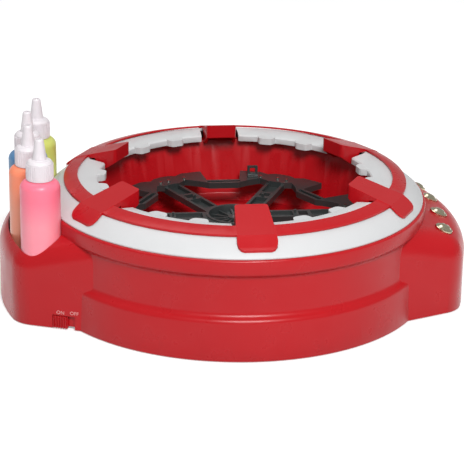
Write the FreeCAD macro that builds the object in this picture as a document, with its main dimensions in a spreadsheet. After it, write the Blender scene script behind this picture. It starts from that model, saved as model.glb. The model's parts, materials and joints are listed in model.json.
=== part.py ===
import FreeCAD, Part
import math
import os
import re

import Sketcher

from FreeCAD import Vector

# Spin art machine: a round battery-driven paint spinner with a bottle pocket on its left
# and a row of push buttons on its right.
# Millimetres. +Z up, -Y towards the user, origin on the table under the spindle axis.

# Driving dimensions

SIZES = {
    # Round housing, outside
    "base_radius": 165.6,
    "ledge_radius": 164.8,
    "waist_radius": 159.6,
    "rim_radius": 163.8,
    "skirt_bottom": 1.0,
    "ledge_height": 32.2,
    "ledge_round": 5.0,
    "waist_round": 5.4,
    "waist_top": 67.8,
    "rim_bottom": 75.1,
    "rim_round": 3.0,
    "rim_top": 86.0,
    "rim_edge_round": 1.6,
    "shell_wall": 3.0,
    "deck_radius": 147.0,
    # Side lobes
    "lobe_radius": 202.0,
    "button_lobe_radius": 198.7,
    "lobe_face_angle": 68.3,
    "lobe_face_distance": 137.0,
    "lobe_roof_height": 76.5,
    "lobe_roof_slope": 0.39,
    "lobe_roof_inner": 136.5,
    "lobe_corner_round": 25.0,
    "lobe_roof_round": 20.0,
    "button_roof_round": 24.0,
    # Base plate and what fastens it
    "plate_bottom": 2.0,
    "plate_thickness": 3.0,
    "plate_clearance": 0.4,
    "screw_circle": 157.6,
    "screw_boss_radius": 5.2,
    "screw_boss_height": 26.0,
    "screw_radius": 1.5,
    "screw_head_radius": 3.0,
    "screw_head_height": 2.0,
    "screw_length": 14.0,
    "screw_pitch_angle": 45.0,
    "foot_radius": 9.0,
    "foot_circle": 138.0,
    "foot_stem_radius": 3.0,
    "foot_count": 6,
    # Bottle well in the left lobe
    "bottle_inset": 24.8,
    "bottle_circle": "=lobe_radius - bottle_inset",
    "bottle_radius": 16.6,
    "bottle_spread": 12.667,
    "well_clearance": 0.5,
    "well_floor": 25.0,
    "well_wall": 2.4,
    # Paint bottles
    "bottle_wall": 1.2,
    "paint_level": 100.0,
    "bottle_foot_round": 2.0,
    "bottle_top": 121.4,
    "bottle_shoulder_round": 7.0,
    "neck_radius": 9.2,
    "neck_top": 133.0,
    "cap_bottom": 122.0,
    "cap_top": 138.3,
    "cap_radius": 11.05,
    "cap_rib_height": 0.35,
    "cap_rib_width": 0.75,
    "cap_rib_count": 36,
    "nozzle_base_radius": 5.9,
    "nozzle_tip_radius": 3.4,
    "nozzle_top": 156.2,
    "nozzle_bore": 1.6,
    # Splash basin
    "basin_floor": 42.0,
    "basin_skin": 2.5,
    "basin_floor_radius": 112.0,
    "basin_rim_radius": 127.0,
    "basin_rim_height": 94.0,
    "basin_step_radius": 74.0,
    "basin_step_drop": 2.4,
    "tower_radius": 16.0,
    "tower_top": 54.0,
    # Splash ring
    "ring_radius": 161.4,
    "ring_brow_radius": 146.5,
    "ring_brow_height": 99.3,
    "ring_crown_radius": 134.8,
    "ring_crown_height": 102.9,
    "ring_mouth_radius": 117.5,
    "ring_mouth_height": 101.0,
    "ring_skin": 2.2,
    "ring_lip_depth": 5.8,
    "ring_tooth_reach": 6.4,
    "ring_tooth_width": 12.5,
    "ring_tooth_offset": 21.0,
    "ring_notch_width": 34.0,
    # Clamp wheel
    "wheel_thickness": 2.2,
    "band_gap": 0.5,
    "wheel_count": 6,
    "tab_outer_radius": 157.4,
    "tab_inner_radius": 107.2,
    "tab_outer_width": 32.6,
    "tab_inner_width": 27.2,
    "tab_inner_height": 113.4,
    "tab_inner_round": 2.5,
    "tab_outer_round": 6.0,
    "tab_wall": 2.0,
    "tab_wall_bottom": 101.8,
    "tab_leg_drop": 9.0,
    "tab_leg_near": 13.0,
    "tab_leg_far": 17.0,
    # Gap between parts that lift off and what they rest on
    "seat_gap": 0.1,
    # Spinner
    "spinner_top": 68.0,
    "spinner_depth": 5.5,
    "spinner_arm_top": 66.0,
    "spinner_arm_width": 16.5,
    "spinner_arm_angle": 65.0,
    "spinner_arm_offset": 9.0,
    "spinner_rail": 2.6,
    "spinner_channel_depth": 3.5,
    "spinner_count": 6,
    "spinner_bar_inner": 79.0,
    "spinner_bar_outer": 88.0,
    "spinner_bar_half": 15.0,
    "spinner_pad_radius": 112.5,
    "spinner_pad_half": 37.0,
    "spinner_tip_radius": 113.0,
    "spinner_tip_inner": 88.0,
    "hub_radius": 24.5,
    "hub_top": 67.0,
    "hub_bottom": 57.5,
    "hub_floor": 3.0,
    "hub_wall": 2.4,
    "pin_radius": 1.3,
    "pin_height": 1.6,
    "pin_circle": 99.0,
    "pin_near": 20.8,
    "pin_middle": 30.2,
    "pin_far": 35.3,
    "nib_circle": 53.0,
    "clip_width": 9.4,
    "clip_height": 9.6,
    "clip_thickness": 2.4,
    "clip_window": 4.6,
    "clip_offset": 28.0,
    "clip_place": 98.6,
    # Spindle and its bearings
    "spindle_radius": 2.5,
    "spindle_bottom": 24.0,
    "running_clearance": 0.05,
    "bush_radius": 5.0,
    "bush_flange_radius": 6.6,
    "bush_flange": 1.2,
    "bush_length": 9.0,
    "drive_hub_radius": 9.0,
    "drive_hub_height": 3.0,
    # Gear train
    "gear_module": 0.8,
    "gear_face": 2.6,
    "gear_addendum": 0.62,
    "gear_dedendum": 0.95,
    "gear_tooth_width": 1.0,
    "gear_flank": 0.3,
    "motor_pinion_teeth": 10,
    "first_wheel_teeth": 40,
    "second_pinion_teeth": 12,
    "spindle_wheel_teeth": 48,
    "gear_layer_gap": 0.3,
    "gearbox_plate_top": 33.0,
    "gearbox_plate_thickness": 2.2,
    "gearbox_plate_radius": 53.5,
    "gearbox_post_circle": 48.0,
    "gearbox_post_radius": 4.5,
    "gearbox_post_count": 4,
    "axle_radius": 1.5,
    "axle_foot": 1.5,
    # Motor
    "motor_radius": 10.2,
    "motor_flat": 15.4,
    "motor_length": 20.5,
    "motor_cap_length": 4.2,
    "motor_shaft_radius": 1.0,
    "motor_nose_radius": 3.0,
    # Battery compartment
    "cell_radius": 12.9,
    "cell_length": 49.0,
    "cell_edge": 1.2,
    "cell_nub_radius": 3.2,
    "cell_nub_length": 1.4,
    "cell_row_gap": 2.2,
    "cell_clearance": 0.4,
    "box_wall": 2.0,
    "box_middle": 85.0,
    "contact_space": 4.2,
    "contact_thickness": 0.6,
    "contact_spring_radius": 6.0,
    "door_clearance": 0.3,
    # Push buttons in the right lobe
    "button_radius": 7.7,
    "button_inset": 22.3,
    "button_circle": "=button_lobe_radius - button_inset",
    "button_angle": 6.3,
    "outer_button_inset": 17.9,
    "outer_button_circle": "=button_lobe_radius - outer_button_inset",
    "outer_button_angle": 17.6,
    "button_clearance": 0.35,
    "button_travel": 1.6,
    "button_dome": 3.6,
    "button_collar": 1.6,
    "button_collar_gap": 0.9,
    "button_stem_radius": 2.2,
    "board_depth": 13.0,
    "board_thickness": 1.6,
    "board_width": 22.0,
    "tact_height": 4.0,
    "tact_radius": 3.6,
    # Slide switch
    "switch_inset": 94.1,
    "switch_place": "=switch_inset - lobe_radius",
    "switch_slot_length": 19.4,
    "switch_slot_top": 12.6,
    "switch_knob_length": 12.6,
    "switch_knob_height": 10.4,
    "switch_knob_bottom": 1.4,
    "switch_knob_proud": 0.8,
    "switch_rib_count": 6,
    "switch_flange": 1.4,
    "switch_clearance": 0.3,
    "switch_body_length": 30.0,
    "switch_body_height": 9.0,
    "switch_body_depth": 7.0,
}

DOC = FreeCAD.newDocument("spin_art_machine")
SHEET = DOC.addObject("Spreadsheet::Sheet", "Sizes")
for row, (alias, number) in enumerate(SIZES.items(), start=1):
    SHEET.set(f"A{row}", alias)
    SHEET.set(f"B{row}", str(number))
    SHEET.setAlias(f"B{row}", alias)
DOC.recompute()

NODES = []


def bound(text):
    """Turns the size names in an expression into references to the sheet."""
    return re.sub(r"[a-z_]+", lambda word: f"Sizes.{word[0]}" if word[0] in SIZES else word[0], str(text))


def bind(thing, **sizes):
    """Binds properties, their dots written as double underscores, to expressions."""
    for key, text in sizes.items():
        thing.setExpression(key.replace("__", "."), bound(text))


def node(thing, label):
    """Names an object as one of the machine's sub-parts."""
    thing.Label = label
    NODES.append(thing)
    return thing


# Sketches and features


def new_body(name):
    body = DOC.addObject("PartDesign::Body", name)
    body.AllowCompound = True
    return body


def origin_feature(body, role):
    return next(f for f in body.Origin.OriginFeatures if f.Role == role)


def new_sketch(body, plane="XY_Plane", height=0, right=0, up=0, turn=0):
    """Adds a sketch on an origin plane, moved along its normal, across it and turned in it."""
    sketch = body.newObject("Sketcher::SketchObject", body.Name + "_sketch")
    sketch.AttachmentSupport = [(origin_feature(body, plane), "")]
    sketch.MapMode = "FlatFace"
    bind(sketch, AttachmentOffset__Base__z=height)
    if right or up:
        bind(sketch, AttachmentOffset__Base__x=right, AttachmentOffset__Base__y=up)
    if turn:
        bind(sketch, AttachmentOffset__Rotation__Angle=turn)
    return sketch


def pin_point(sketch, line, end, x, y):
    """Holds a point of the sketch at two bound distances from the sketch's origin."""
    for kind, text in (("DistanceX", x), ("DistanceY", y)):
        index = sketch.addConstraint(Sketcher.Constraint(kind, -1, 1, line, end, 1.0))
        sketch.setExpression(f"Constraints[{index}]", bound(text))


def outline(sketch, points):
    """Draws a closed outline through points, each a pair of bound coordinates."""
    first = sketch.GeometryCount
    count = len(points)
    ring = [Vector(10 * math.cos(2 * math.pi * i / count), 10 * math.sin(2 * math.pi * i / count), 0)
            for i in range(count)]
    for i in range(count):
        sketch.addGeometry(Part.LineSegment(ring[i], ring[(i + 1) % count]))
    for i in range(count):
        sketch.addConstraint(Sketcher.Constraint("Coincident", first + i, 2, first + (i + 1) % count, 1))
    for i, (x, y) in enumerate(points):
        pin_point(sketch, first + i, 1, x, y)


def circle(sketch, x, y, radius):
    line = sketch.addGeometry(Part.Circle(Vector(1, 1, 0), Vector(0, 0, 1), 5.0))
    pin_point(sketch, line, 3, x, y)
    index = sketch.addConstraint(Sketcher.Constraint("Radius", line, 5.0))
    sketch.setExpression(f"Constraints[{index}]", bound(radius))


def rectangle(sketch, left, right, low, high):
    outline(sketch, [(left, low), (right, low), (right, high), (left, high)])


def pad(body, sketch, length, pocket=False):
    kind = "PartDesign::Pocket" if pocket else "PartDesign::Pad"
    feature = body.newObject(kind, body.Name + "_pad")
    feature.Profile = sketch
    bind(feature, Length=length)
    return feature


def revolve(body, sketch, groove=False, angle=None):
    kind = "PartDesign::Groove" if groove else "PartDesign::Revolution"
    feature = body.newObject(kind, body.Name + "_turn")
    feature.Profile = sketch
    feature.ReferenceAxis = (sketch, ["V_Axis"])
    feature.Angle = 360.0
    if angle:
        feature.Midplane = True
        bind(feature, Angle=angle)
    return feature


def around(body, features, count, angle=360):
    """Repeats features about the body's own Z axis."""
    pattern = body.newObject("PartDesign::PolarPattern", body.Name + "_pattern")
    pattern.Originals = features
    pattern.Axis = (origin_feature(body, "Z_Axis"), [""])
    bind(pattern, Angle=angle, Occurrences=count)
    body.Tip = pattern
    return pattern


def fillet(body, radius, wanted):
    """Rounds the tip's edges for which wanted(edge) holds."""
    DOC.recompute()
    base = body.Tip
    names = [f"Edge{i}" for i, edge in enumerate(base.Shape.Edges, start=1) if wanted(edge)]
    feature = body.newObject("PartDesign::Fillet", body.Name + "_round")
    feature.Base = (base, names)
    bind(feature, Radius=radius)
    return feature


def turned(name, points, **place):
    """A body of one profile, in the XZ plane, turned about the Z axis."""
    body = new_body(name)
    sketch = new_sketch(body, "XZ_Plane", **place)
    outline(sketch, points)
    revolve(body, sketch)
    return body


def slab(name, left, right, low, high, bottom, height):
    """A rectangular block."""
    body = new_body(name)
    sketch = new_sketch(body, height=bottom)
    rectangle(sketch, left, right, low, high)
    pad(body, sketch, height)
    return body


def combine(kind, name, shapes):
    thing = DOC.addObject(kind, name)
    if kind == "Part::Cut":
        thing.Base, thing.Tool = shapes
    elif kind == "Part::Compound":
        thing.Links = shapes
    else:
        thing.Shapes = shapes
    return thing


# Round housing with its two lobes


def roof(radius, drop="0"):
    """Height of the lobes' conical roof at a radius, less a drop."""
    return f"(lobe_roof_height - lobe_roof_slope * ({radius} - waist_radius) - ({drop}))"


def lobe_side(x, inset):
    """Y of a lobe's straight face at an x, for a form drawn in by an inset."""
    return f"((lobe_face_distance - ({inset}) - ({x}) * cos(lobe_face_angle)) / sin(lobe_face_angle))"


LOBE_ROOT = "0.4 * lobe_radius"
LOBE_REACH = "(lobe_radius + 20)"


def add_lobes(body, inset, bottom, roof_drop):
    """Adds both lobes, drawn in by an inset, with their arc and roof trimmed."""
    sketch = new_sketch(body, height=bottom)
    for sign in ("", "-"):
        side = [(f"{sign}({LOBE_ROOT})", lobe_side(LOBE_ROOT, inset)),
                (f"{sign}{LOBE_REACH}", lobe_side(LOBE_REACH, inset))]
        mirror = [(x, f"-{y}") for x, y in reversed(side)]
        outline(sketch, side + mirror)
    pad(body, sketch, f"lobe_roof_height + lobe_radius * lobe_roof_slope - ({bottom})")
    top = "(lobe_roof_height + lobe_radius * lobe_roof_slope + 5)"
    for sign, reach in (("", "button_lobe_radius"), ("-", "lobe_radius")):
        trim = new_sketch(body, "XZ_Plane")
        edge = f"({reach} - ({inset}))"
        points = [("1", roof("lobe_roof_inner", roof_drop)),
                  ("lobe_roof_inner", roof("lobe_roof_inner", roof_drop)),
                  (edge, roof(edge, roof_drop)),
                  (edge, f"{bottom} - 5"),
                  ("lobe_radius + 60", f"{bottom} - 5"),
                  ("lobe_radius + 60", top),
                  ("1", top)]
        outline(trim, [(f"{sign}({x})", y) for x, y in points])
        revolve(body, trim, groove=True, angle="180")


def round_lobes(body, inset):
    """Rounds both lobes' upright corners and roof edges, each by its size less an inset."""

    def upright_corner(edge):
        flat = abs(edge.BoundBox.XLength) + abs(edge.BoundBox.YLength) < 0.01
        middle = edge.CenterOfMass
        return flat and math.hypot(middle.x, middle.y) > SIZES["waist_radius"]

    fillet(body, f"lobe_corner_round - ({inset})", upright_corner)
    for side, radius in ((1, "button_roof_round"), (-1, "lobe_roof_round")):

        def roof_edge(edge, side=side):
            level = SIZES["lobe_roof_height"] / 2 < edge.BoundBox.ZMin < SIZES["lobe_roof_height"]
            return level and edge.CenterOfMass.x * side > SIZES["lobe_radius"] * 0.45

        fillet(body, f"{radius} - ({inset})", roof_edge)


def bend(x, y, radius, start, end, steps=5):
    """Points along an arc about a centre, between two angles in degrees."""
    turns = [start + (end - start) * i / steps for i in range(steps + 1)]
    return [(f"{x} + {radius} * cos({turn:g})", f"{y} + {radius} * sin({turn:g})") for turn in turns]


def outer_form():
    """The housing's outside, as a solid."""
    body = new_body("outer_form")
    add_lobes(body, "0", "skirt_bottom", "0")
    round_lobes(body, "0")
    sketch = new_sketch(body, "XZ_Plane")
    waist_foot = "ledge_height + (ledge_round + waist_round) * sin(60)"
    outline(sketch, [("0", "skirt_bottom"),
                     ("base_radius", "skirt_bottom"),
                     *bend("ledge_radius - ledge_round", "ledge_height", "ledge_round", 0, 60),
                     *bend("waist_radius + waist_round", waist_foot, "waist_round", 240, 180)[1:],
                     *bend("waist_radius + waist_round", "waist_top", "waist_round", 180, 120),
                     *bend("rim_radius - rim_round", "rim_bottom", "rim_round", -60, 0)[1:],
                     *bend("rim_radius - rim_edge_round", "rim_top - rim_edge_round", "rim_edge_round",
                           0, 90, 3),
                     ("0", "rim_top")])
    revolve(body, sketch)
    return body


def inner_form():
    """The housing's hollow, as a solid that reaches past its open bottom and top."""
    body = new_body("inner_form")
    add_lobes(body, "shell_wall", "skirt_bottom - 1", "shell_wall * 1.1")
    round_lobes(body, "shell_wall")
    trim = new_sketch(body, "XZ_Plane")
    outline(trim, [("1", "lobe_roof_height - shell_wall * 1.1"),
                   ("waist_radius", "lobe_roof_height - shell_wall * 1.1"),
                   ("waist_radius", "rim_top"),
                   ("1", "rim_top")])
    revolve(body, trim, groove=True)
    sketch = new_sketch(body, "XZ_Plane")
    outline(sketch, [("0", "skirt_bottom - 1"),
                     ("base_radius - shell_wall", "skirt_bottom - 1"),
                     ("ledge_radius - shell_wall", "ledge_height - shell_wall * 0.5"),
                     ("waist_radius - shell_wall", "ledge_height + shell_wall"),
                     ("waist_radius - shell_wall", "waist_top + shell_wall * 0.5"),
                     ("rim_radius - shell_wall", "rim_bottom + shell_wall * 0.5"),
                     ("rim_radius - shell_wall", "rim_top - shell_wall"),
                     ("deck_radius", "rim_top - shell_wall"),
                     ("deck_radius", "rim_top + 1"),
                     ("0", "rim_top + 1")])
    revolve(body, sketch)
    return body


SCREW_ANGLES = ("screw_pitch_angle", "90", "180 - screw_pitch_angle",
                "180 + screw_pitch_angle", "270", "360 - screw_pitch_angle")


def ring_of_circles(sketch, circle_radius, radius):
    """One circle at each of the housing's screw places."""
    for angle in SCREW_ANGLES:
        circle(sketch, f"{circle_radius} * cos({angle})", f"{circle_radius} * sin({angle})", radius)


def screw_bosses():
    body = new_body("screw_bosses")
    sketch = new_sketch(body, height="plate_bottom + plate_thickness")
    ring_of_circles(sketch, "screw_circle", "screw_boss_radius")
    pad(body, sketch, "screw_boss_height")
    return body


def screw_bores():
    body = new_body("screw_bores")
    sketch = new_sketch(body, height="plate_bottom")
    ring_of_circles(sketch, "screw_circle", "screw_radius")
    pad(body, sketch, "screw_length + 1")
    return body


def bottle_slot(name, spare, bottom, height):
    """The bottles' arc-shaped slot, round at both ends, wider than a bottle by a spare."""
    body = new_body(name)
    half = f"(bottle_radius + ({spare}))"
    sketch = new_sketch(body, "XZ_Plane")
    rectangle(sketch, f"bottle_circle - {half}", f"bottle_circle + {half}", bottom, height)
    revolve(body, sketch, angle="bottle_spread * 3")
    ends = new_sketch(body, height=bottom)
    for sign in ("", "-"):
        circle(ends, "bottle_circle * cos(bottle_spread * 1.5)",
               f"{sign}bottle_circle * sin(bottle_spread * 1.5)", half)
    pad(body, ends, f"{height} - ({bottom})")
    body.Placement = FreeCAD.Placement(Vector(0, 0, 0), FreeCAD.Rotation(Vector(0, 0, 1), 180))
    return body


ROOF_TILT = "atan(lobe_roof_slope)"


BUTTON_PLACES = (("outer_button_circle", "-outer_button_angle"), ("button_circle", "-button_angle"),
                 ("button_circle", "button_angle"), ("outer_button_circle", "outer_button_angle"))


def roof_sketch(body, radius="button_circle"):
    """A sketch square to the lobe's roof at a radius, its V axis along the roof's normal."""
    return new_sketch(body, "XZ_Plane", right=radius, up=roof(radius), turn=f"-{ROOF_TILT}")


def button_row(name, points):
    """One body at each button's place, a profile turned about the button's own axis."""
    row = []
    for number, (radius, angle) in enumerate(BUTTON_PLACES, start=1):
        body = new_body(f"{name}_{number}")
        outline(roof_sketch(body, radius), points)
        revolve(body, body.Group[-1])
        bind(body, Placement__Rotation__Angle=angle)
        row.append(body)
    return row


def switch_frame(body):
    """Turns a body so that its X axis runs along the left lobe's front face."""
    bind(body, Placement__Rotation__Angle="lobe_face_angle - 90")
    return body


def switch_slot():
    """The slide switch's slot through the left lobe's front face."""
    return switch_frame(slab("switch_slot",
                             "switch_place - switch_slot_length / 2",
                             "switch_place + switch_slot_length / 2",
                             "-lobe_face_distance - 2",
                             "-lobe_face_distance + shell_wall + 2",
                             "skirt_bottom - 1", "switch_slot_top - skirt_bottom + 1"))


def upper_body():
    outer = outer_form()
    shell = combine("Part::Cut", "hollow_shell", [outer, inner_form()])
    well = bottle_slot("well_block", "well_clearance + well_wall", "well_floor - well_wall", "rim_top - 0.5")
    inside = combine("Part::MultiCommon", "well_inside", [well, outer])
    solid = combine("Part::MultiFuse", "shell_with_well", [shell, inside, screw_bosses()])
    holes = combine("Part::MultiFuse", "shell_holes", [
        bottle_slot("well_slot", "well_clearance", "well_floor", "rim_top + 1"),
        screw_bores(),
        *button_row("button_hole", [("0", "-shell_wall * 3"),
                                    ("button_radius + button_clearance", "-shell_wall * 3"),
                                    ("button_radius + button_clearance", "shell_wall * 2"),
                                    ("0", "shell_wall * 2")]),
        switch_slot(),
    ])
    return node(combine("Part::Cut", "upper_body", [solid, holes]), "upper_body")


def base_plate():
    body = new_body("plate_form")
    gap = "shell_wall + plate_clearance"
    add_lobes(body, gap, "plate_bottom", "0")
    round_lobes(body, gap)
    disc = new_sketch(body, height="plate_bottom")
    circle(disc, "0", "0", f"base_radius - ({gap})")
    pad(body, disc, "plate_thickness")
    top = new_sketch(body, height="lobe_roof_height + lobe_radius")
    circle(top, "0", "0", "lobe_radius * 2")
    pad(body, top, "lobe_roof_height + lobe_radius - plate_bottom - plate_thickness", pocket=True)
    holes = new_body("plate_holes")
    bores = new_sketch(holes, height="plate_bottom - 1")
    ring_of_circles(bores, "screw_circle", "screw_radius + 0.2")
    pad(holes, bores, "plate_thickness + 2")
    heads = new_sketch(holes, height="plate_bottom - 1")
    ring_of_circles(heads, "screw_circle", "screw_head_radius + 0.3")
    pad(holes, heads, "screw_head_height * 0.75 + 1")
    feet = new_sketch(holes, height="plate_bottom - 1")
    for i in range(int(SIZES["foot_count"])):
        angle = f"360 / foot_count * ({i} + 0.5)"
        circle(feet, f"foot_circle * cos({angle})", f"foot_circle * sin({angle})", "foot_stem_radius")
    pad(holes, feet, "plate_thickness + 2")
    hatch = new_sketch(holes, height="plate_bottom - 1")
    rectangle(hatch, f"-({BOX_HALF_LENGTH} - box_wall)", f"{BOX_HALF_LENGTH} - box_wall",
              f"box_middle - {BOX_HALF_WIDTH} + box_wall", f"box_middle + {BOX_HALF_WIDTH} - box_wall")
    pad(holes, hatch, "plate_thickness + 2")
    clear = switch_frame(slab("switch_relief",
                              "switch_place - switch_body_length / 2 - 4",
                              "switch_place + switch_body_length / 2 + 4",
                              "-lobe_face_distance - 2",
                              "-lobe_face_distance + shell_wall + switch_flange + switch_body_depth + 3",
                              "plate_bottom - 1", "plate_thickness + 2"))
    cuts = combine("Part::MultiFuse", "plate_cuts", [holes, clear])
    return node(combine("Part::Cut", "base_plate", [body, cuts]), "base_plate")


def row_on_circle(name, radius, count, points):
    """A turned piece repeated evenly on a circle, the first half a step from the X axis."""
    body = new_body(name)
    sketch = new_sketch(body, "XZ_Plane", right=radius)
    outline(sketch, points)
    piece = revolve(body, sketch)
    around(body, [piece], count)
    bind(body, Placement__Rotation__Angle=f"180 / ({count})")
    return body


def rubber_feet():
    stem_top = "plate_bottom + plate_thickness + 0.6"
    return node(row_on_circle("rubber_feet", "foot_circle", "foot_count", [
        ("0", "0"),
        ("foot_radius - 0.8", "0"),
        ("foot_radius", "0.8"),
        ("foot_radius", "plate_bottom"),
        ("foot_stem_radius", "plate_bottom"),
        ("foot_stem_radius", stem_top),
        ("0", stem_top),
    ]), "rubber_feet")


def copies_on_circle(name, master, radius, angles):
    """Separate copies of a turned piece at the given angles on a circle."""
    links = []
    for i, angle in enumerate(angles):
        link = DOC.addObject("App::Link", f"{name}_{i + 1}")
        link.LinkedObject = master
        link.LinkTransform = True
        bind(link, Placement__Base__x=f"({radius}) * cos({angle})",
             Placement__Base__y=f"({radius}) * sin({angle})")
        links.append(link)
    return combine("Part::Compound", name, links)


def screw_points(top):
    """Profile of a pan-head screw standing head down, its head's underside at a height."""
    under = f"({top})"
    return [("0", f"{under} - screw_head_height"),
            ("screw_head_radius - 0.5", f"{under} - screw_head_height"),
            ("screw_head_radius", f"{under} - screw_head_height + 0.6"),
            ("screw_head_radius", under),
            ("screw_radius", under),
            ("screw_radius", f"{under} + screw_length - 2.5"),
            ("0.4", f"{under} + screw_length - 1.5"),
            ("0", f"{under} + screw_length - 1.5")]


def base_screws():
    master = turned("base_screw", screw_points("plate_bottom + screw_head_height * 0.75"))
    return node(copies_on_circle("base_screw_set", master, "screw_circle", SCREW_ANGLES), "base_screws")


# Splash basin with its central tower


def splash_basin():
    skin = "basin_skin"
    body = turned("splash_basin", [
        ("bush_flange_radius", "tower_top"),
        ("tower_radius - 2", "tower_top"),
        ("tower_radius", "tower_top - 2"),
        ("tower_radius + 3", "basin_floor + 2"),
        ("tower_radius + 6", "basin_floor"),
        ("basin_step_radius", "basin_floor"),
        ("basin_step_radius + 2", "basin_floor - basin_step_drop"),
        ("basin_floor_radius", "basin_floor - basin_step_drop"),
        ("basin_floor_radius + 6", "basin_floor + 3"),
        ("basin_rim_radius", "basin_rim_height"),
        ("basin_rim_radius + 7", "basin_rim_height"),
        ("deck_radius + 4", "rim_top + basin_skin"),
        ("ring_radius - 8", "rim_top + basin_skin"),
        ("ring_radius - 8", "rim_top"),
        ("deck_radius + 2.5", "rim_top"),
        ("basin_rim_radius + 7", f"basin_rim_height - {skin}"),
        (f"basin_rim_radius + {skin}", f"basin_rim_height - {skin}"),
        (f"basin_floor_radius + 6 + {skin}", "basin_floor + 2"),
        ("basin_floor_radius + 1", f"basin_floor - basin_step_drop - {skin}"),
        ("basin_step_radius + 1", f"basin_floor - basin_step_drop - {skin}"),
        ("basin_step_radius - 1", f"basin_floor - {skin}"),
        ("tower_radius + 4", f"basin_floor - {skin}"),
        (f"tower_radius - {skin}", f"basin_floor - {skin} + 2"),
        (f"tower_radius - {skin}", "tower_top - bush_flange - 3"),
        ("bush_radius + 2.4", "tower_top - bush_flange - 3"),
        ("bush_radius + 2.4", "tower_top - bush_length - 2"),
        ("bush_radius", "tower_top - bush_length - 2"),
        ("bush_radius", "tower_top - bush_flange"),
        ("bush_flange_radius", "tower_top - bush_flange"),
    ])
    posts = new_sketch(body, height="gearbox_plate_top")
    for i in range(int(SIZES["gearbox_post_count"])):
        angle = f"360 / gearbox_post_count * ({i} + 0.5)"
        circle(posts, f"gearbox_post_circle * cos({angle})", f"gearbox_post_circle * sin({angle})",
               "gearbox_post_radius")
        circle(posts, f"gearbox_post_circle * cos({angle})", f"gearbox_post_circle * sin({angle})",
               "screw_radius")
    pad(body, posts, "basin_floor - basin_skin + 0.5 - gearbox_plate_top")
    return node(body, "splash_basin")


# Splash ring and clamp wheel


RING_FALL = "((ring_brow_height - rim_top - 1.3) / (ring_radius - ring_brow_radius))"


def splash_ring():
    lip = "ring_mouth_height - ring_lip_depth"
    body = turned("ring_form", [
        ("ring_radius", "rim_top + seat_gap"),
        ("ring_radius", "rim_top + 1.3"),
        ("ring_brow_radius", "ring_brow_height"),
        ("ring_crown_radius", "ring_crown_height"),
        ("ring_mouth_radius + 1.2", "ring_mouth_height"),
        ("ring_mouth_radius", "ring_mouth_height - 1.2"),
        ("ring_mouth_radius", lip),
        ("ring_mouth_radius + ring_skin", lip),
        ("ring_mouth_radius + ring_skin", "ring_mouth_height - ring_skin"),
        ("ring_crown_radius - 0.4", "ring_crown_height - ring_skin"),
        ("ring_brow_radius - 0.8", "ring_brow_height - ring_skin"),
        ("ring_radius - 2.6", "rim_top + seat_gap"),
    ])
    half = "ring_tooth_width / 2"
    side = [("ring_mouth_radius + ring_skin", f"{half} + 2.4"),
            ("ring_mouth_radius", f"{half} + 1.9"),
            ("ring_mouth_radius - ring_tooth_reach * 0.45", f"{half} + 1"),
            ("ring_mouth_radius - ring_tooth_reach * 0.8", f"{half} - 0.3"),
            ("ring_mouth_radius - ring_tooth_reach * 0.96", f"{half} - 1.8"),
            ("ring_mouth_radius - ring_tooth_reach", f"{half} - 3.6")]
    teeth = []
    for sign in ("", "-"):
        tooth = new_sketch(body, height=lip)
        turn_about_z(tooth, f"180 / wheel_count + {sign}ring_tooth_offset")
        outline(tooth, side + [(x, f"-({y})") for x, y in reversed(side)])
        teeth.append(pad(body, tooth, "ring_lip_depth"))
    around(body, teeth, "wheel_count")
    notch = new_sketch(body, height="ring_crown_height + 1")
    rectangle(notch, "ring_mouth_radius - ring_tooth_reach - 6", "ring_crown_radius - 2",
              "-ring_notch_width / 2", "ring_notch_width / 2")
    turn_about_z(notch, "180 / wheel_count")
    cut = pad(body, notch, "ring_crown_height - ring_mouth_height + ring_lip_depth + 3", pocket=True)
    around(body, [cut], "wheel_count")
    bay = bottle_slot("ring_bay", "well_clearance", "rim_top - 1", "ring_brow_height")
    return node(combine("Part::Cut", "splash_ring", [body, bay]), "splash_ring")


def turn_about_z(sketch, angle):
    """Turns a sketch on the XY plane about the body's Z axis."""
    bind(sketch, AttachmentOffset__Rotation__Angle=angle)


WHEEL_GAP = "(wheel_thickness + seat_gap)"
TAB_RISE = f"((tab_inner_height - ring_brow_height - {WHEEL_GAP}) / (ring_brow_radius - tab_inner_radius))"


def tab_ceiling(radius):
    """Height of a tab's underside, inside its walls, at a radius."""
    return f"tab_inner_height - {TAB_RISE} * ({radius} - tab_inner_radius) - wheel_thickness"


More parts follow.
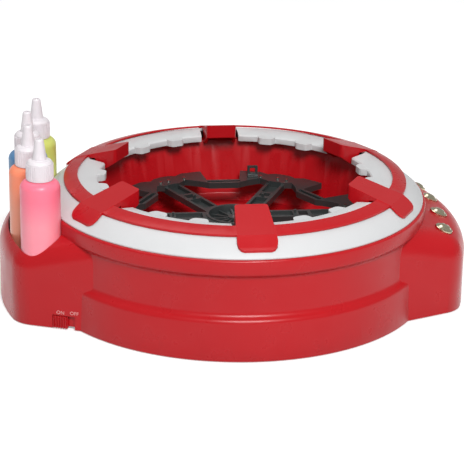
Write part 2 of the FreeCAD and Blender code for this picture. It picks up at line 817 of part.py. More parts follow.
def clamp_wheel():
    outer_drop = f"(ring_brow_height - {RING_FALL} * (tab_outer_radius - ring_brow_radius))"
    band_top = f"ring_brow_height + {WHEEL_GAP}"
    band = turned("wheel_band", [
        ("ring_brow_radius", "ring_brow_height + band_gap"),
        ("ring_brow_radius", band_top),
        ("ring_crown_radius", f"{band_top} + {TAB_RISE} * (ring_brow_radius - ring_crown_radius)"),
        ("ring_crown_radius", "ring_crown_height + band_gap"),
    ])
    tabs = new_body("wheel_tabs")
    side = new_sketch(tabs, "XZ_Plane")
    outline(side, [
        ("tab_inner_radius", "tab_wall_bottom"),
        ("tab_inner_radius + tab_leg_near", "tab_wall_bottom - tab_leg_drop"),
        ("tab_inner_radius + tab_leg_far", "tab_wall_bottom - tab_leg_drop"),
        ("tab_inner_radius + tab_leg_far + 3", "ring_crown_height + seat_gap"),
        ("ring_crown_radius", "ring_crown_height + seat_gap"),
        ("ring_brow_radius", "ring_brow_height + seat_gap"),
        ("tab_outer_radius", f"{outer_drop} + seat_gap * 1.4"),
        ("tab_outer_radius", f"{outer_drop} + 0.9 * wheel_thickness + seat_gap * 1.4"),
        ("tab_outer_radius - 1.5", f"{outer_drop} + 1.5 * {RING_FALL} + {WHEEL_GAP} + 0.2"),
        ("ring_brow_radius", band_top),
        ("tab_inner_radius", "tab_inner_height"),
    ])
    block = pad(tabs, side, "tab_outer_width * 1.2")
    block.Midplane = True
    shape = new_sketch(tabs, height="tab_inner_height + 5")
    near, far = "tab_inner_width / 2", "tab_outer_width / 2"
    for sign in ("", "-"):
        edge = [("tab_inner_radius - 7", f"{near} - tab_inner_round"),
                ("tab_inner_radius", f"{near} - tab_inner_round"),
                ("tab_inner_radius + tab_inner_round * 0.3", f"{near} - tab_inner_round * 0.3"),
                ("tab_inner_radius + tab_inner_round", near),
                ("tab_outer_radius - tab_outer_round", far),
                ("tab_outer_radius - tab_outer_round * 0.5", f"{far} - tab_outer_round * 0.13"),
                ("tab_outer_radius - tab_outer_round * 0.13", f"{far} - tab_outer_round * 0.5"),
                ("tab_outer_radius", f"{far} - tab_outer_round"),
                ("tab_outer_radius + 7", f"{far} - tab_outer_round"),
                ("tab_outer_radius + 7", "tab_outer_width"),
                ("tab_inner_radius - 7", "tab_outer_width")]
        outline(shape, [(x, f"{sign}({y})") for x, y in edge])
    trim = pad(tabs, shape, "tab_inner_height + 5 - rim_top", pocket=True)
    hollow = new_sketch(tabs, "XZ_Plane")
    hollow_near, hollow_far = "(tab_inner_radius + tab_wall)", "(ring_crown_radius - 2)"
    floor = "tab_wall_bottom - tab_leg_drop - 1"
    outline(hollow, [(hollow_near, floor),
                     (hollow_far, floor),
                     (hollow_far, tab_ceiling(hollow_far)),
                     (hollow_near, tab_ceiling(hollow_near))])
    inside = pad(tabs, hollow, "tab_inner_width - 2 * tab_wall", pocket=True)
    inside.Midplane = True
    around(tabs, [block, trim, inside], "wheel_count")
    bind(tabs, Placement__Rotation__Angle="180 / wheel_count")
    return node(combine("Part::MultiFuse", "clamp_wheel", [band, tabs]), "clamp_wheel")


# Spinner with its pins and clips


ARM_LINES = (("0", "0"), ("spinner_arm_angle", "-spinner_arm_offset"),
             ("180 - spinner_arm_angle", "spinner_arm_offset"))


def along_arms(body, height, spans, half, length, pocket=False):
    """Pads or pockets rectangles along three arms' lines, and repeats them half a turn on."""
    features = []
    for turn, middle in ARM_LINES:
        sketch = new_sketch(body, height=height)
        turn_about_z(sketch, turn)
        for start, end in spans:
            rectangle(sketch, start, end, f"{middle} - {half}", f"{middle} + {half}")
        features.append(pad(body, sketch, length, pocket=pocket))
    around(body, features, "2")


def spinner_frame():
    bottom = "spinner_top - spinner_depth"
    body = turned("spinner_frame", [
        ("spindle_radius", "hub_bottom + 1.5"),
        ("drive_hub_radius + 0.5", "hub_bottom + 1.5"),
        ("drive_hub_radius + 0.5", "hub_bottom - 1.5"),
        ("drive_hub_radius + 3", "hub_bottom - 1.5"),
        ("drive_hub_radius + 3", "hub_bottom"),
        ("hub_radius - 2", "hub_bottom"),
        ("hub_radius", "hub_bottom + 2"),
        ("hub_radius", "hub_top"),
        ("hub_radius - hub_wall", "hub_top"),
        ("hub_radius - hub_wall - 1", "hub_bottom + hub_floor"),
        ("spindle_radius + 3", "hub_bottom + hub_floor"),
        ("spindle_radius + 3", "hub_bottom + hub_floor + 4"),
        ("spindle_radius", "hub_bottom + hub_floor + 4"),
    ])
    along_arms(body, "spinner_arm_top - spinner_depth", [("hub_radius * 0.66", "spinner_tip_radius - 8")],
               "spinner_arm_width / 2", "spinner_depth")
    sector = new_sketch(body, height=bottom)
    turn_about_z(sector, "180 / spinner_count - 90")
    outline(sector, spinner_sector())
    sector_pad = pad(body, sector, "spinner_depth")
    around(body, [sector_pad], "spinner_count")
    bowl = new_sketch(body, height="spinner_top + 1")
    circle(bowl, "0", "0", "hub_radius - hub_wall")
    circle(bowl, "0", "0", "spindle_radius + 3")
    pad(body, bowl, "spinner_top + 1 - hub_bottom - hub_floor", pocket=True)
    rib = new_sketch(body, height="hub_bottom + hub_floor - 0.5")
    rectangle(rib, "spindle_radius + 2", "hub_radius - hub_wall / 2", "-0.8", "0.8")
    hub_rib = pad(body, rib, "3.2")
    around(body, [hub_rib], "spinner_count * 2")
    half = "(spinner_arm_width / 2 - spinner_rail)"
    drop = "spinner_top - spinner_arm_top + 1"
    along_arms(body, "spinner_top + 1", [("hub_radius + 3", "nib_circle - 2"),
                                         ("nib_circle + 14", "spinner_tip_inner + 3")],
               half, f"spinner_channel_depth + {drop}", pocket=True)
    along_arms(body, "spinner_top + 1", [("nib_circle + 3", "nib_circle + 11")],
               f"({half} - 1)", f"spinner_depth + {drop} + 1", pocket=True)
    groove = new_sketch(body, height="spinner_top + 1")
    turn_about_z(groove, "180 / spinner_count - 90")
    rectangle(groove, "-spinner_bar_half", "spinner_bar_half",
              "spinner_bar_inner + spinner_rail", "spinner_bar_outer - spinner_rail")
    groove_cut = pad(body, groove, "spinner_channel_depth + 1", pocket=True)
    around(body, [groove_cut], "spinner_count")
    along_arms(body, "spinner_arm_top - 1", [("nib_circle - 1", "nib_circle + 1")], "1.2", "4.2")
    return node(body, "spinner_frame")


def spinner_sector():
    """One sixth of the outer frame, centred on the Y axis, from one arm to the next."""
    slant = "(180 / spinner_count)"
    right = [
        ("spinner_bar_half", "spinner_bar_outer"),
        ("spinner_bar_half + 3.5", "spinner_pad_radius"),
        ("spinner_pad_half", "spinner_pad_radius - 5"),
        ("spinner_pad_half + 5.5", "spinner_pad_radius - 12"),
        (f"spinner_tip_radius * sin({slant}) - 7", f"spinner_tip_radius * cos({slant}) + 3.2"),
        (f"spinner_tip_radius * sin({slant})", f"spinner_tip_radius * cos({slant})"),
        (f"spinner_tip_inner * sin({slant})", f"spinner_tip_inner * cos({slant})"),
        ("spinner_pad_half - 3", "spinner_bar_outer + 2"),
        ("spinner_bar_half + 7", "spinner_bar_outer - 3"),
        ("spinner_bar_half - 2", "spinner_bar_inner"),
    ]
    return right + [(f"-({x})", y) for x, y in reversed(right)]


def spinner_pins():
    """Short steel pins, three at each arm's end, that hold the paper."""
    body = new_body("spinner_pins")
    sketch = new_sketch(body, height="spinner_top")
    for sign in ("", "-"):
        for turn in ("pin_near", "pin_middle", "pin_far"):
            circle(sketch, f"{sign}pin_circle * sin({turn})", f"pin_circle * cos({turn})", "pin_radius")
    pins = pad(body, sketch, "pin_height")
    around(body, [pins], "3")
    return node(body, "spinner_pins")


def card_clips():
    """Two upright clip posts with a square window, on opposite pads of the spinner."""
    body = new_body("card_clips")
    post = new_sketch(body, "XZ_Plane", height="-clip_place")
    rectangle(post, "clip_offset - clip_width / 2", "clip_offset + clip_width / 2",
              "spinner_top", "spinner_top + clip_height")
    middle = "spinner_top + clip_height / 2 + 0.4"
    rectangle(post, "clip_offset - clip_window / 2", "clip_offset + clip_window / 2",
              f"{middle} - clip_window / 2", f"{middle} + clip_window / 2")
    upright = pad(body, post, "clip_thickness")
    foot = new_sketch(body, height="spinner_top")
    rectangle(foot, "clip_offset - clip_width / 2", "clip_offset + clip_width / 2",
              "clip_place - 6", "clip_place - clip_thickness + 0.2")
    base = pad(body, foot, "1.2")
    around(body, [upright, base], "2")
    return node(body, "card_clips")


# Spindle, bushes and drive hub


def spindle_shaft():
    top = "hub_bottom + hub_floor + 4"
    return node(turned("spindle_shaft", [
        ("0", "spindle_bottom"),
        ("spindle_radius - 0.5", "spindle_bottom"),
        ("spindle_radius", "spindle_bottom + 0.5"),
        ("spindle_radius", f"{top} - 0.5"),
        ("spindle_radius - 0.5", top),
        ("0", top),
    ]), "spindle_shaft")


def bush(name, top, length):
    """A flanged bearing bush, its flange on top."""
    bore = "spindle_radius + running_clearance"
    return node(turned(name, [
        (bore, top),
        ("bush_flange_radius", top),
        ("bush_flange_radius", f"({top}) - bush_flange"),
        ("bush_radius", f"({top}) - bush_flange"),
        ("bush_radius", f"({top}) - ({length})"),
        (bore, f"({top}) - ({length})"),
    ]), name)


def drive_hub():
    """The round driver pressed on the spindle, which carries the spinner from below."""
    top = "hub_bottom + 1.5"
    return node(turned("drive_hub", [
        ("spindle_radius", "tower_top + 0.4"),
        ("spindle_radius + 2.6", "tower_top + 0.4"),
        ("spindle_radius + 2.6", f"{top} - drive_hub_height"),
        ("drive_hub_radius", f"{top} - drive_hub_height"),
        ("drive_hub_radius", top),
        ("spindle_radius", top),
    ]), "drive_hub")


# Gear train under the basin: motor pinion, two-step reduction gear, spindle wheel


PLATE_FLOOR = "(gearbox_plate_top - gearbox_plate_thickness)"
MOTOR_TOP = PLATE_FLOOR
LAYER_ONE = "(gearbox_plate_top + gear_layer_gap)"
LAYER_TWO = f"({LAYER_ONE} + gear_face + gear_layer_gap)"
AXLE_X = "(gear_module * (second_pinion_teeth + spindle_wheel_teeth) / 2)"
MOTOR_Y = "(-gear_module * (motor_pinion_teeth + first_wheel_teeth) / 2)"


def add_gear(body, teeth, bottom, bore, bearing, gap):
    """Adds a spur gear to a body: a tooth, or a gap, points along a bearing in degrees."""
    pitch = f"(gear_module * ({teeth}) / 2)"
    root = f"({pitch} - gear_dedendum)"
    tip = f"({pitch} + gear_addendum)"
    blank = new_sketch(body, height=bottom)
    circle(blank, "0", "0", root)
    if bore:
        circle(blank, "0", "0", bore)
    pad(body, blank, "gear_face")
    tooth = new_sketch(body, height=bottom)
    shift = f"180 / ({teeth})" if gap else "0"
    turn_about_z(tooth, f"({bearing}) + {shift}")
    root_half = "(gear_tooth_width / 2 + gear_flank * gear_dedendum)"
    tip_half = "(gear_tooth_width / 2 - gear_flank * gear_addendum)"
    outline(tooth, [(f"{root} - 0.4", f"-{root_half}"), (tip, f"-{tip_half}"),
                    (tip, tip_half), (f"{root} - 0.4", root_half)])
    first = pad(body, tooth, "gear_face")
    around(body, [first], teeth)


def place(body, x, y):
    bind(body, Placement__Base__x=x, Placement__Base__y=y)
    return body


def add_tube(body, bottom, height, outer, bore=None):
    sketch = new_sketch(body, height=bottom)
    circle(sketch, "0", "0", outer)
    if bore:
        circle(sketch, "0", "0", bore)
    return pad(body, sketch, height)


def motor_pinion():
    body = new_body("motor_pinion")
    add_gear(body, "motor_pinion_teeth", LAYER_ONE, None, "90", True)
    add_tube(body, f"{MOTOR_TOP} - 3", f"{LAYER_ONE} + 0.5 - {MOTOR_TOP} + 3", "motor_shaft_radius")
    return node(place(body, AXLE_X, MOTOR_Y), "motor_pinion")


def reduction_gear():
    body = new_body("reduction_gear")
    bore = "axle_radius + running_clearance"
    add_gear(body, "first_wheel_teeth", LAYER_ONE, bore, "-90", False)
    add_gear(body, "second_pinion_teeth", f"{LAYER_TWO} - gear_layer_gap", bore, "180", False)
    add_gear(body, "second_pinion_teeth", LAYER_TWO, bore, "180", False)
    return node(place(body, AXLE_X, "0"), "reduction_gear")


def spindle_gear():
    body = new_body("spindle_gear")
    add_gear(body, "spindle_wheel_teeth", LAYER_TWO, "spindle_radius", "0", True)
    return node(body, "spindle_gear")


def reduction_axle():
    body = new_body("reduction_axle")
    foot = f"({PLATE_FLOOR} - axle_foot)"
    add_tube(body, foot, f"{LAYER_TWO} + gear_face + 0.2 - {foot}", "axle_radius")
    return node(place(body, AXLE_X, "0"), "reduction_axle")


def gearbox_plate():
    body = new_body("gearbox_plate")
    disc = new_sketch(body, height=PLATE_FLOOR)
    circle(disc, "0", "0", "gearbox_plate_radius")
    circle(disc, "0", "0", "bush_radius")
    circle(disc, AXLE_X, "0", "axle_radius")
    circle(disc, AXLE_X, MOTOR_Y, "motor_nose_radius + 0.2")
    for i in range(int(SIZES["gearbox_post_count"])):
        angle = f"360 / gearbox_post_count * ({i} + 0.5)"
        circle(disc, f"gearbox_post_circle * cos({angle})", f"gearbox_post_circle * sin({angle})",
               "screw_radius + 0.2")
    pad(body, disc, "gearbox_plate_thickness")
    add_tube(body, f"{PLATE_FLOOR} - bush_length + bush_flange + 1", "bush_length - bush_flange - 1",
             "bush_radius + 2.2", "bush_radius")
    return node(body, "gearbox_plate")


def gearbox_screws():
    screw = screw_points(PLATE_FLOOR)
    shorter = [(x, y.replace("screw_length", "screw_length * 0.7")) for x, y in screw]
    return node(row_on_circle("gearbox_screws", "gearbox_post_circle", "gearbox_post_count", shorter),
                "gearbox_screws")


def motor_can():
    body = new_body("motor_can")
    add_tube(body, f"{MOTOR_TOP} - motor_length", "motor_length", "motor_radius")
    flats = new_sketch(body, height=f"{MOTOR_TOP} + 1")
    for sign in ("", "-"):
        rectangle(flats, "-motor_radius - 1", "motor_radius + 1",
                  f"{sign}motor_flat / 2", f"{sign}(motor_radius + 1)")
    pad(body, flats, "motor_length + 2", pocket=True)
    add_tube(body, MOTOR_TOP, "1.6", "motor_nose_radius")
    hole = new_sketch(body, height=f"{MOTOR_TOP} + 3")
    circle(hole, "0", "0", "motor_shaft_radius + running_clearance")
    pad(body, hole, "8", pocket=True)
    return node(place(body, AXLE_X, MOTOR_Y), "motor_can")


def motor_end_cap():
    body = new_body("motor_end_cap")
    floor = f"({MOTOR_TOP} - motor_length - motor_cap_length)"
    add_tube(body, floor, "motor_cap_length", "motor_radius - 0.3")
    flats = new_sketch(body, height=f"{floor} + motor_cap_length + 1")
    for sign in ("", "-"):
        rectangle(flats, "-motor_radius - 1", "motor_radius + 1",
                  f"{sign}(motor_flat / 2 - 0.3)", f"{sign}(motor_radius + 1)")
    pad(body, flats, "motor_cap_length + 2", pocket=True)
    lugs = new_sketch(body, height=f"{floor} + 1")
    for sign in ("", "-"):
        rectangle(lugs, f"{sign}(motor_radius - 1)", f"{sign}(motor_radius + 3)", "-1.2", "1.2")
    pad(body, lugs, "0.5")
    return node(place(body, AXLE_X, MOTOR_Y), "motor_end_cap")


# Batteries, their box, contacts and door


BOX_HALF_LENGTH = "(cell_length + cell_nub_length + contact_space + box_wall)"
BOX_HALF_WIDTH = "(cell_radius * 2 + cell_clearance * 2 + cell_row_gap / 2 + box_wall)"
CELL_HEIGHT = "(plate_bottom + plate_thickness + cell_radius + 0.8)"
BOX_TOP = f"({CELL_HEIGHT} + cell_radius + cell_clearance + box_wall)"
CELL_ROW = "(cell_radius + cell_clearance + cell_row_gap / 2)"


def battery_box():
    floor = "plate_bottom + plate_thickness"
    body = slab("battery_box", f"-{BOX_HALF_LENGTH}", BOX_HALF_LENGTH,
                f"box_middle - {BOX_HALF_WIDTH}", f"box_middle + {BOX_HALF_WIDTH}",
                floor, f"{BOX_TOP} - ({floor})")
    inside = new_sketch(body, height=f"{BOX_TOP} - box_wall")
    for sign in ("", "-"):
        rectangle(inside, f"-({BOX_HALF_LENGTH} - box_wall)", f"{BOX_HALF_LENGTH} - box_wall",
                  f"box_middle + {sign}(cell_row_gap / 2)",
                  f"box_middle + {sign}({BOX_HALF_WIDTH} - box_wall)")
    pad(body, inside, f"{BOX_TOP}", pocket=True)
    return node(body, "battery_box")


def lying(facing):
    """Lays a turned piece's axis along X, its far end towards +X for 1 and -X for -1."""
    return FreeCAD.Placement(Vector(0, 0, 0), FreeCAD.Rotation(Vector(0, 1, 0), 90 * facing))


def battery_cells():
    """Four round cells, two in line in each of two rows that point opposite ways."""
    number = 0
    for row in ("-", ""):
        for side in ("-", ""):
            number += 1
            name = f"battery_cell_{number}"
            body = new_body(name)
            sketch = new_sketch(body, "XZ_Plane")
            half = "cell_length / 2"
            outline(sketch, [("0", f"-{half}"),
                             ("cell_radius - cell_edge / 2", f"-{half}"),
                             ("cell_radius", f"-{half} + cell_edge / 2"),
                             ("cell_radius", f"{half} - cell_edge"),
                             ("cell_radius - cell_edge", half),
                             ("cell_nub_radius", half),
                             ("cell_nub_radius", f"{half} + cell_nub_length"),
                             ("0", f"{half} + cell_nub_length")])
            revolve(body, sketch)
            facing = 1 if row == "" else -1
            body.Placement = lying(facing)
            shift = f"{facing} * (contact_space - contact_thickness - cell_nub_length / 2)"
            bind(body,
                 Placement__Base__x=f"{side}({half} + cell_nub_length / 2) + {shift}",
                 Placement__Base__y=f"box_middle + {row}{CELL_ROW}",
                 Placement__Base__z=CELL_HEIGHT)
            node(body, name)


def battery_contacts():
    """Flat contact plates on both end walls, one for each cell end that meets them."""
    body = new_body("battery_contacts")
    wall = f"({BOX_HALF_LENGTH} - box_wall)"
    for sign in ("", "-"):
        for row in ("", "-"):
            middle = f"(box_middle + {row}{CELL_ROW})"
            sketch = new_sketch(body, height=f"{CELL_HEIGHT} - 6")
            rectangle(sketch, f"{sign}{wall}", f"{sign}({wall} - contact_thickness)",
                      f"{middle} - 6", f"{middle} + 6")
            pad(body, sketch, "12")
    return node(body, "battery_contacts")


def battery_springs():
    """A conical contact spring at each row's flat end."""
    parts = []
    wall = f"({BOX_HALF_LENGTH} - box_wall - contact_thickness)"
    for sign, row, facing in (("-", "", 1), ("", "-", -1)):
        cone = DOC.addObject("Part::Cone", "contact_spring")
        bind(cone, Radius1="contact_spring_radius", Radius2="contact_spring_radius / 2",
             Height="2 * (contact_space - contact_thickness)")
        cone.Placement = lying(facing)
        bind(cone,
             Placement__Base__x=f"{sign}{wall}",
             Placement__Base__y=f"box_middle + {row}{CELL_ROW}",
             Placement__Base__z=CELL_HEIGHT)
        parts.append(cone)
    return node(combine("Part::Compound", "battery_springs", parts), "battery_springs")


def battery_door():
    body = slab("battery_door",
                f"-({BOX_HALF_LENGTH} - box_wall - door_clearance)",
                f"{BOX_HALF_LENGTH} - box_wall - door_clearance",
                f"box_middle - {BOX_HALF_WIDTH} + box_wall + door_clearance",
                f"box_middle + {BOX_HALF_WIDTH} - box_wall - door_clearance",
                "plate_bottom", "plate_thickness - door_clearance")
    grip = new_sketch(body, height="plate_bottom + 1.2")
    for i in range(5):
        rectangle(grip, "-14", "14", f"box_middle - 13 + {i} * 6", f"box_middle - 10.5 + {i} * 6")
    pad(body, grip, "2", pocket=True)
    return node(body, "battery_door")


# Push buttons with their board and tact switches


def push_buttons():
    stem_end = "-board_depth + tact_height + button_travel + 0.1"
    flange = "-shell_wall * 1.1 - button_collar_gap"
    for body in button_row("speed_button", [
            ("0", stem_end),
            ("button_stem_radius", stem_end),
            ("button_stem_radius", "-shell_wall - button_travel - button_collar"),
            ("button_radius + 1.2", f"{flange} - button_collar"),
            ("button_radius + 1.2", flange),
            ("button_radius", flange),
            ("button_radius", "button_travel * 0.4 + 0.4"),
            ("button_radius - 0.5", "button_travel * 0.4 + 0.9"),
            ("button_radius - 1.7", "button_travel * 0.4 + 1.0"),
            ("button_radius * 0.55", "button_travel * 0.4 + button_dome * 0.72"),
            ("button_radius * 0.25", "button_travel * 0.4 + button_dome * 0.9"),
            ("0", "button_travel * 0.4 + button_dome * 0.95")]):
        node(body, body.Name)


def button_board():
    """The curved board under the buttons, hung from the roof on pillars between them."""
    strip = new_body("board_strip")
    sketch = roof_sketch(strip)
    rectangle(sketch, "2 - board_width / 2", "2 + board_width / 2",
              "-board_depth - board_thickness", "-board_depth")
    arc = strip.newObject("PartDesign::Revolution", "board_arc")
    arc.Profile = sketch
    arc.ReferenceAxis = (origin_feature(strip, "Z_Axis"), [""])
    arc.Midplane = True
    bind(arc, Angle="outer_button_angle * 2 + 10")
    pillars = new_body("board_pillars")
    post_sketch = roof_sketch(pillars)
    rectangle(post_sketch, "0", "2", "-board_depth - 0.5", "-shell_wall * 1.03")
    post = revolve(pillars, post_sketch)
    around(pillars, [post], "3", "button_angle + outer_button_angle")
    bind(pillars, Placement__Rotation__Angle="-(button_angle + outer_button_angle) / 2")
    return node(combine("Part::MultiFuse", "button_board", [strip, pillars]), "button_board")


def tact_switches():
    top = "-board_depth + tact_height"
    row = button_row("tact_switch", [
        ("0", "-board_depth"),
        ("tact_radius", "-board_depth"),
        ("tact_radius", f"{top} - 1"),
        ("button_stem_radius - 0.4", f"{top} - 1"),
        ("button_stem_radius - 0.4", top),
        ("0", top),
    ])
    return node(combine("Part::Compound", "tact_switches", row), "tact_switches")


# Slide switch in the left lobe's front face


KNOB_LEFT = "(switch_place - switch_slot_length / 2 + switch_clearance)"
FACE = "(-lobe_face_distance)"
FLANGE_FRONT = f"({FACE} + shell_wall + switch_clearance)"


def switch_knob():
    """The ribbed thumb piece with its flange behind the wall."""
    body = new_body("switch_knob")
    right = f"({KNOB_LEFT} + switch_knob_length)"
    top = "(switch_knob_bottom + switch_knob_height)"
    thumb = new_sketch(body, height="switch_knob_bottom")
    rectangle(thumb, KNOB_LEFT, right, f"{FACE} + 0.6", f"{FLANGE_FRONT} + 0.2")
    pad(body, thumb, "switch_knob_height")
    flange = new_sketch(body, height="plate_bottom + 0.4")
    travel = "(switch_slot_length - switch_knob_length - 2 * switch_clearance)"
    rectangle(flange, f"{KNOB_LEFT} - {travel} - 1.5", f"{right} + {travel} + 1.5",
              FLANGE_FRONT, f"{FLANGE_FRONT} + switch_flange")
    pad(body, flange, "switch_slot_top + 1.6 - plate_bottom - 0.4")
    lever = new_sketch(body, height="switch_slot_top / 2 - 1")
    rectangle(lever,
              f"{KNOB_LEFT} + switch_knob_length / 2 - 1", f"{KNOB_LEFT} + switch_knob_length / 2 + 1",
              f"{FLANGE_FRONT} + switch_flange - 0.2", f"{FLANGE_FRONT} + switch_flange + 2.4")
    pad(body, lever, "2.4")
    ribs = new_sketch(body, height="switch_knob_bottom")
    pitch = "(switch_knob_length / switch_rib_count)"
    for i in range(int(SIZES["switch_rib_count"])):
        start = f"{KNOB_LEFT} + {pitch} * ({i} + 0.22)"
        outline(ribs, [(start, f"{FACE} + 1"),
                       (f"{start} + {pitch} * 0.14", f"{FACE} - switch_knob_proud"),
                       (f"{start} + {pitch} * 0.42", f"{FACE} - switch_knob_proud"),
                       (f"{start} + {pitch} * 0.56", f"{FACE} + 1")])
    pad(body, ribs, "switch_knob_height")
    return node(switch_frame(body), "switch_knob")


def slide_switch():
    """The switch body behind the knob, with a slot for the knob's lever."""
    front = f"({FLANGE_FRONT} + switch_flange + switch_clearance)"
    body = slab("slide_switch",
                "switch_place - switch_body_length / 2", "switch_place + switch_body_length / 2",
                front, f"{front} + switch_body_depth",
                "plate_bottom + plate_thickness", "switch_body_height + 4")
    slot = new_sketch(body, height="switch_slot_top + 6")
    rectangle(slot,
              "switch_place - switch_slot_length / 2 + 1", "switch_place + switch_slot_length / 2 - 1",
              f"{front} - 1", f"{front} + 3")
    pad(body, slot, "switch_slot_top + 2.2", pocket=True)
    return node(switch_frame(body), "slide_switch")


# Paint bottles with their caps


COLOURS = ("pink", "orange", "blue", "yellow")


def bottle_place(body, index):
    """Stands a body at a bottle's place, the first one nearest the user."""
    angle = f"(180 + bottle_spread * (1.5 - {index}))"
    return place(body, f"bottle_circle * cos({angle})", f"bottle_circle * sin({angle})")


def paint_bottle(index, colour):
    name = f"paint_bottle_{colour}"
    body = new_body(name)
    foot = "(well_floor + seat_gap)"
    shoulder = "(bottle_top + seat_gap)"
    sketch = new_sketch(body, "XZ_Plane")
    outline(sketch, [("0", foot),
                     ("bottle_radius - bottle_foot_round", foot),
                     ("bottle_radius", f"{foot} + bottle_foot_round"),
                     ("bottle_radius", shoulder),
                     ("neck_radius", shoulder),
                     ("neck_radius", "neck_top"),
                     ("neck_radius - bottle_wall", "neck_top"),
                     ("neck_radius - bottle_wall", f"{shoulder} - bottle_wall - 1"),
                     ("bottle_radius - bottle_wall - 4", f"{shoulder} - bottle_wall - 2"),
                     ("bottle_radius - bottle_wall", f"{shoulder} - bottle_wall - 6"),
                     ("bottle_radius - bottle_wall", f"{foot} + bottle_foot_round + bottle_wall"),
                     ("bottle_radius - bottle_wall - bottle_foot_round", f"{foot} + bottle_wall"),
                     ("0", f"{foot} + bottle_wall")])
    revolve(body, sketch)

    def shoulder_edge(edge):
        high = abs(edge.CenterOfMass.z - SIZES["bottle_top"] - SIZES["seat_gap"]) < 0.05
        return high and abs(edge.BoundBox.XMax - SIZES["bottle_radius"]) < 0.05

    fillet(body, "bottle_shoulder_round", shoulder_edge)
    return node(bottle_place(body, index), name)


def paint_fill(index, colour):
    """The paint in a bottle, up to a level below the shoulder."""
    foot = "(well_floor + seat_gap)"
    radius = "(bottle_radius - bottle_wall)"
    return node(bottle_place(turned(f"paint_fill_{colour}", [
        ("0", f"{foot} + bottle_wall"),
        (f"{radius} - bottle_foot_round", f"{foot} + bottle_wall"),
        (radius, f"{foot} + bottle_foot_round + bottle_wall"),
        (radius, "paint_level"),
        ("0", "paint_level"),
    ]), index), f"paint_fill_{colour}")


def paint_cap(index, colour):
    name = f"paint_cap_{colour}"
    body = new_body(name)
    inner = "neck_radius + 0.3"
    sketch = new_sketch(body, "XZ_Plane")
    outline(sketch, [(inner, "cap_bottom"),
                     ("cap_radius", "cap_bottom"),
                     ("cap_radius - 0.3", "cap_top - 2.2"),
                     ("cap_radius - 1.6", "cap_top - 0.4"),
                     ("cap_radius - 2.6", "cap_top"),
                     ("nozzle_base_radius", "cap_top + 0.6"),
                     ("nozzle_tip_radius + 0.3", "nozzle_top - 1.2"),
                     ("nozzle_tip_radius - 0.4", "nozzle_top"),
                     ("nozzle_bore", "nozzle_top"),
                     ("nozzle_bore", "nozzle_top - 12"),
                     ("nozzle_base_radius - 2.4", "cap_top - 2.4"),
                     (inner, "neck_top + 1.4")])
    revolve(body, sketch)
    rib = new_sketch(body, height="cap_bottom + 1.2")
    rectangle(rib, "cap_radius - 0.6", "cap_radius + cap_rib_height",
              "-cap_rib_width / 2", "cap_rib_width / 2")
    first = pad(body, rib, "cap_top - cap_bottom - 4.4")
    around(body, [first], "cap_rib_count")
    return node(bottle_place(body, index), name)


# The whole machine


def check_all():
    """Stops on any object that failed, any empty or invalid sub-part and any cut that cut nothing."""
    for thing in DOC.Objects:
        if "Invalid" in thing.State or "Error" in thing.State:
            raise RuntimeError(f"{thing.Name} ({thing.Label}) failed: {thing.State}")
        if thing.TypeId in ("PartDesign::Pocket", "PartDesign::Groove"):
            if thing.Shape.Volume >= thing.BaseFeature.Shape.Volume - 0.001:
                raise RuntimeError(f"{thing.Name} cuts nothing")
    for thing in NODES:
        if thing.Shape.isNull() or not thing.Shape.isValid() or thing.Shape.Volume <= 0:
            raise RuntimeError(f"{thing.Label} has no valid shape")


def main():
    for build in (upper_body, base_plate, rubber_feet, base_screws, splash_basin, gearbox_plate,
                  gearbox_screws, motor_can, motor_end_cap, motor_pinion, reduction_gear, reduction_axle,
                  spindle_gear, spindle_shaft, drive_hub, spinner_frame, spinner_pins, card_clips,
                  splash_ring, clamp_wheel, battery_box, battery_cells, battery_contacts,
                  battery_springs, battery_door, push_buttons, button_board, tact_switches, switch_knob,
                  slide_switch):
        build()
    bush("upper_bush", "tower_top", "bush_length")
    bush("lower_bush", "gearbox_plate_top + bush_flange", "bush_length")
    for index, colour in enumerate(COLOURS):
        paint_bottle(index, colour)
        paint_fill(index, colour)
        paint_cap(index, colour)
    DOC.recompute()
    check_all()
    os.makedirs("parts", exist_ok=True)
    for thing in NODES:
        thing.Shape.exportStep(f"parts/{thing.Label}.step")
    print(f"{len(NODES)} nodes")


main()
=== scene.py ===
import json
import math

import bpy
from mathutils import Matrix, Vector


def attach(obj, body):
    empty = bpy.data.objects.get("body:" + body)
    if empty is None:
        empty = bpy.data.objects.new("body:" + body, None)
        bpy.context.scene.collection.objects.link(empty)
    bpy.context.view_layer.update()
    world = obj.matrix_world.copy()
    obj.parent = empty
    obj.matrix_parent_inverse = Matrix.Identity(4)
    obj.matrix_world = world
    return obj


# Looks of the spin art machine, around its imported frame. Metres, +Z up, -Y towards the user.

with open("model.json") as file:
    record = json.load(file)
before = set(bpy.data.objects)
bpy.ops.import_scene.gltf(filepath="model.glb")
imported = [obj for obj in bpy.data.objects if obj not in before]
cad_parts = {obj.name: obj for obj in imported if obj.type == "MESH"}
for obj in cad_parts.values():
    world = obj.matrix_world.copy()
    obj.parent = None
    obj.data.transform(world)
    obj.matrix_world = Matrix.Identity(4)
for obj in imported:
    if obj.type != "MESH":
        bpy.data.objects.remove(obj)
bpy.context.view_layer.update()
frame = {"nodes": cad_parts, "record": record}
NODES = frame["nodes"]

# Camera

CAMERA_TARGET = (-0.00176, 0.0, 0.0497)
CAMERA_DISTANCE = 1.6339
CAMERA_AZIMUTH = math.radians(-7.02)
CAMERA_ELEVATION = math.radians(20.35)
CAMERA_ROLL = math.radians(0.99)
CAMERA_LENS = 146.08
SENSOR_WIDTH = 36.0

# Colours


def tone(red, green, blue):
    """A display colour, each channel from 0 to 255, as linear RGBA."""
    def linear(value):
        share = value / 255
        return share / 12.92 if share <= 0.04045 else ((share + 0.055) / 1.055) ** 2.4

    return (linear(red), linear(green), linear(blue), 1.0)


